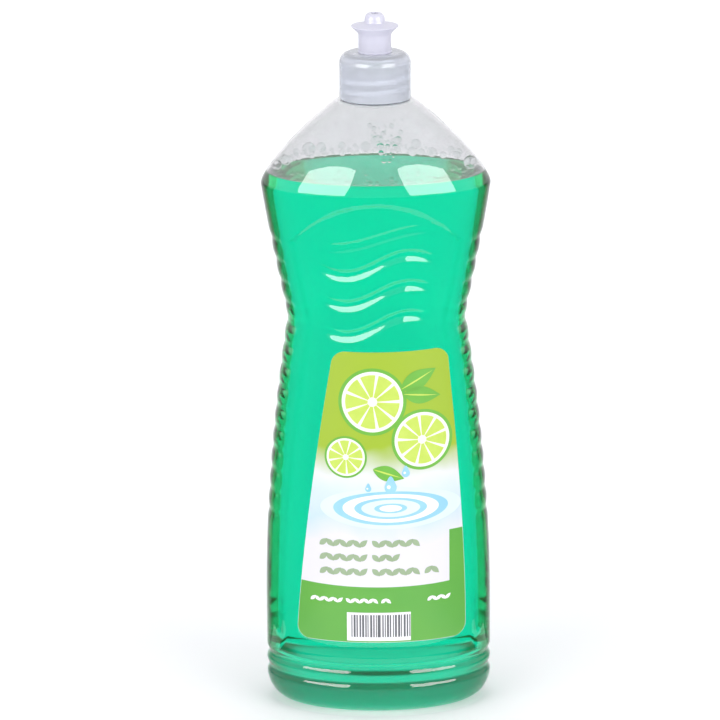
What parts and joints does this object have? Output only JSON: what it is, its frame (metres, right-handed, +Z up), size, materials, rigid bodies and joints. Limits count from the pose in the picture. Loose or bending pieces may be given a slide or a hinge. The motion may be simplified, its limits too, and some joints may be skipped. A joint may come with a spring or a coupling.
{
  "type": "dish soap bottle",
  "caption": "Clear oval bottle of green dish soap with a narrow wavy grip waist, a front label, a screw cap and a push-pull pouring spout.",
  "frame": {"origin": "middle of the base, on the plane the bottle stands on", "axes": "+Z up along the neck, +X across the wide front, -Y towards the front with the label"},
  "size_m": [0.0964, 0.0659, 0.2976],
  "materials": {
    "clear_plastic": "clear, glossy",
    "green_soap": "clear green liquid",
    "label_film": "printed film, satin",
    "frosted_plastic": "translucent, smooth",
    "soft_seal": "matt foam",
    "white_plastic": "opaque, satin"
  },
  "bodies": {
    "bottle": {"bottle": "clear_plastic", "dish_soap": "green_soap", "front_label": "label_film"},
    "liner": {"cap_liner": "soft_seal"},
    "cap": {"screw_cap": "frosted_plastic"},
    "spout": {"pull_spout": "white_plastic"}
  },
  "joints": [
    {"name": "cap_rise", "type": "slide", "parent": "bottle", "child": "liner", "axis": [0, 0, 1], "range_m": [0, 0.00635]},
    {"name": "cap_turn", "type": "hinge", "parent": "liner", "child": "cap", "pos_m": [0, 0, 0.2797], "axis": [0, 0, 1], "range_deg": [0, 540]},
    {"name": "spout_pull", "type": "slide", "parent": "cap", "child": "spout", "axis": [0, 0, 1], "range_m": [0, 0.005]}
  ],
  "couplings": [
    {"joint": "cap_rise", "follows": "cap_turn", "m_per_rad": 0.0006737}
  ]
}
